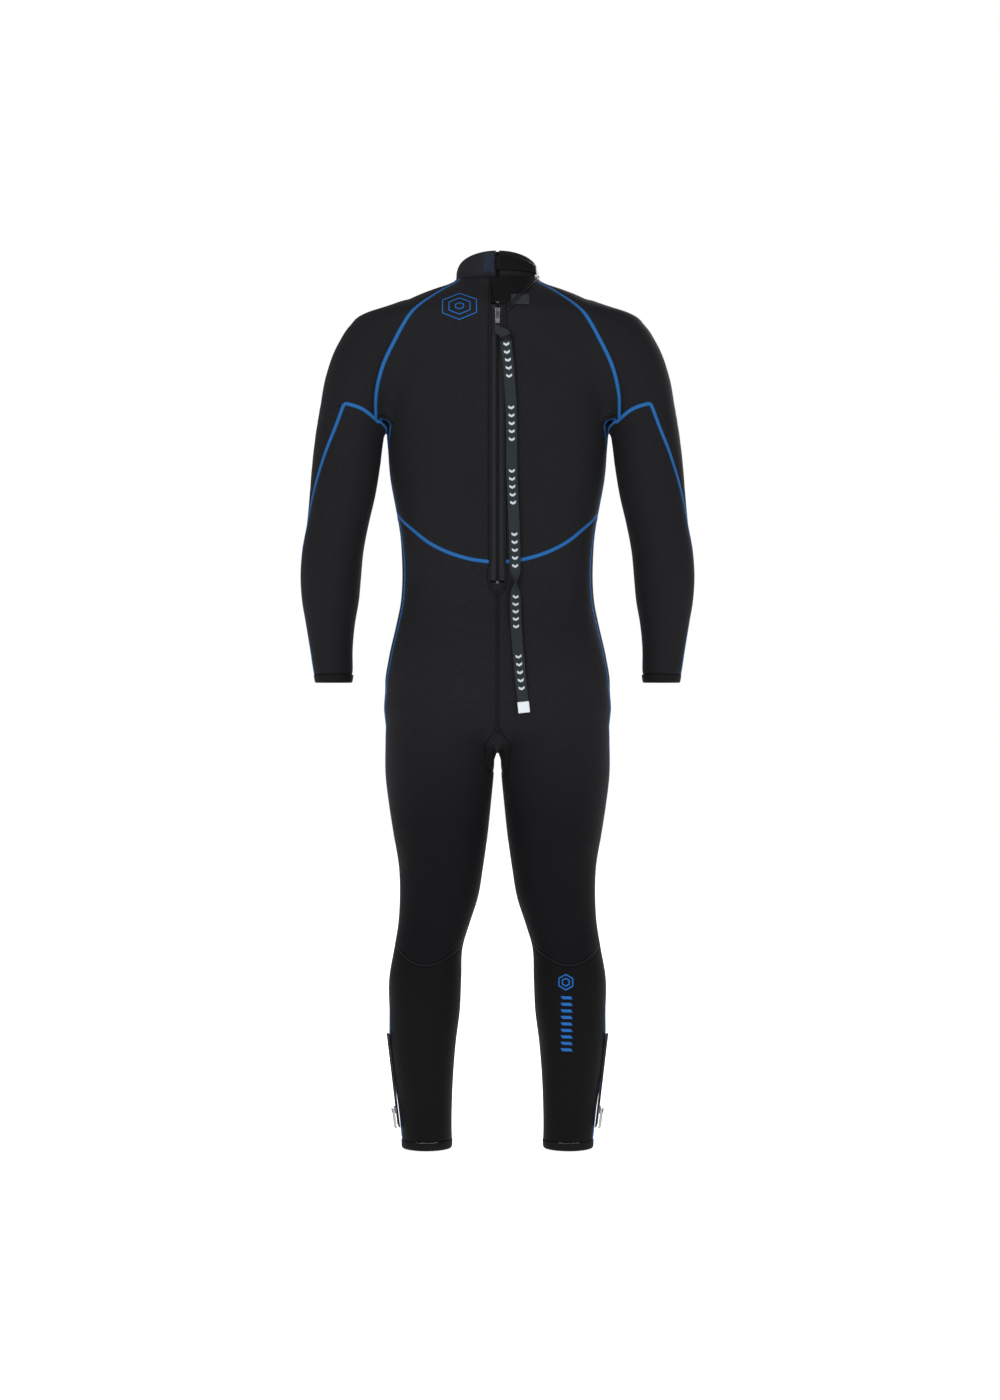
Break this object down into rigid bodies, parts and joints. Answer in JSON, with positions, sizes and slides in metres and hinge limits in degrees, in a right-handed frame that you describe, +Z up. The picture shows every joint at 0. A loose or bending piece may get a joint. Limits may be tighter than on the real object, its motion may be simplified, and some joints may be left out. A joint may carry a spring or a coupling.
{
  "type": "full wetsuit",
  "caption": "Men's full wetsuit with raglan sleeves, back zip and leash, closing collar and ankle zips.",
  "frame": {"origin": "on the suit's centre line at the height of the ankle hems, where the wearer's legs come out", "axes": "+Z up along the body, +Y the way the wearer faces, +X the wearer's right; the back zip faces -Y"},
  "size_m": [0.6374, 0.2493, 1.4355],
  "materials": {
    "neoprene_black": "matte knit-faced neoprene",
    "hem_black": "matte turned hem",
    "zip_nylon": "woven tape and nylon coil",
    "zip_metal": "dark plated metal",
    "leash_webbing": "flat woven webbing",
    "loop_navy": "hook-and-loop pile",
    "tab_grey": "textured moulding",
    "label_white": "woven label"
  },
  "bodies": {
    "suit": {"back_panel_left": "neoprene_black", "back_panel_right": "neoprene_black", "chest_panel": "neoprene_black", "seat_thigh_panel_left": "neoprene_black", "seat_thigh_panel_right": "neoprene_black", "front_thigh_panel_left": "neoprene_black", "front_thigh_panel_right": "neoprene_black", "crotch_gusset": "neoprene_black", "sleeve_top_left": "neoprene_black", "sleeve_top_right": "neoprene_black", "under_sleeve_left": "neoprene_black", "under_sleeve_right": "neoprene_black", "elbow_outer_left": "neoprene_black", "elbow_outer_right": "neoprene_black", "elbow_inner_left": "neoprene_black", "elbow_inner_right": "neoprene_black", "knee_back_left": "neoprene_black", "knee_back_right": "neoprene_black", "knee_pad_left": "neoprene_black", "knee_pad_right": "neoprene_black", "collar_left": "neoprene_black", "collar_right": "neoprene_black", "zip_inner_flap": "neoprene_black", "neck_flap": "neoprene_black", "zip_tape_left": "zip_nylon", "zip_tape_right": "zip_nylon", "zip_coil_left": "zip_nylon", "zip_coil_right": "zip_nylon", "zip_top_stop_left": "zip_metal", "zip_top_stop_right": "zip_metal", "zip_bottom_stop": "zip_metal", "leash_keeper": "leash_webbing", "collar_loop_patch": "loop_navy", "neck_label": "label_white"},
    "zip_slider": {"zip_slider": "zip_metal"},
    "zip_pull": {"zip_pull": "zip_metal", "leash": "leash_webbing"},
    "collar_tab": {"collar_closure_tab": "neoprene_black"},
    "forearm_left": {"forearm_outer_left": "neoprene_black", "forearm_inner_left": "neoprene_black", "wrist_hem_left": "hem_black"},
    "lower_leg_left": {"calf_panel_left": "neoprene_black", "shin_panel_left": "neoprene_black", "ankle_hem_left": "hem_black", "ankle_zip_tape_left": "zip_nylon", "ankle_zip_coil_left": "zip_nylon"},
    "ankle_slider_left": {"ankle_slider_left": "zip_metal"},
    "ankle_tab_left": {"ankle_tab_left": "tab_grey"},
    "forearm_right": {"forearm_outer_right": "neoprene_black", "forearm_inner_right": "neoprene_black", "wrist_hem_right": "hem_black"},
    "lower_leg_right": {"calf_panel_right": "neoprene_black", "shin_panel_right": "neoprene_black", "ankle_hem_right": "hem_black", "ankle_zip_tape_right": "zip_nylon", "ankle_zip_coil_right": "zip_nylon"},
    "ankle_slider_right": {"ankle_slider_right": "zip_metal"},
    "ankle_tab_right": {"ankle_tab_right": "tab_grey"}
  },
  "joints": [
    {"name": "zip_slide", "type": "slide", "parent": "suit", "child": "zip_slider", "axis": [0, 0.0322, -0.9995], "range_m": [0, 0.415], "deforming": ["leash"]},
    {"name": "zip_pull_swing", "type": "hinge", "parent": "zip_slider", "child": "zip_pull", "pos_m": [0, -0.10663, 1.33389], "axis": [-1, 0, 0], "range_deg": [0, 150]},
    {"name": "collar_tab_peel", "type": "hinge", "parent": "suit", "child": "collar_tab", "pos_m": [0.06327, -0.0391, 1.40901], "axis": [0, 0, 1], "range_deg": [0, 100]},
    {"name": "elbow_left", "type": "hinge", "parent": "suit", "child": "forearm_left", "pos_m": [-0.2537, -0.015, 1.027], "axis": [1, 0, 0], "range_deg": [0, 85], "deforming": ["elbow_outer_left", "elbow_inner_left"]},
    {"name": "knee_left", "type": "hinge", "parent": "suit", "child": "lower_leg_left", "pos_m": [-0.104, -0.003, 0.362], "axis": [-1, 0, 0], "range_deg": [0, 85], "deforming": ["knee_back_left", "knee_pad_left"]},
    {"name": "ankle_zip_left", "type": "slide", "parent": "lower_leg_left", "child": "ankle_slider_left", "axis": [-0.1146, -0.0533, 0.992], "range_m": [0, 0.11]},
    {"name": "ankle_tab_swing_left", "type": "hinge", "parent": "ankle_slider_left", "child": "ankle_tab_left", "pos_m": [-0.16724, -0.03647, 0.06217], "axis": [-0.2551, 0.9666, 0.0225], "range_deg": [0, 120]},
    {"name": "elbow_right", "type": "hinge", "parent": "suit", "child": "forearm_right", "pos_m": [0.2537, -0.015, 1.027], "axis": [1, 0, 0], "range_deg": [0, 85], "deforming": ["elbow_outer_right", "elbow_inner_right"]},
    {"name": "knee_right", "type": "hinge", "parent": "suit", "child": "lower_leg_right", "pos_m": [0.104, -0.003, 0.362], "axis": [-1, 0, 0], "range_deg": [0, 85], "deforming": ["knee_back_right", "knee_pad_right"]},
    {"name": "ankle_zip_right", "type": "slide", "parent": "lower_leg_right", "child": "ankle_slider_right", "axis": [0.1146, -0.0533, 0.992], "range_m": [0, 0.11]},
    {"name": "ankle_tab_swing_right", "type": "hinge", "parent": "ankle_slider_right", "child": "ankle_tab_right", "pos_m": [0.16724, -0.03647, 0.06217], "axis": [-0.2551, -0.9666, -0.0225], "range_deg": [0, 120]}
  ]
}
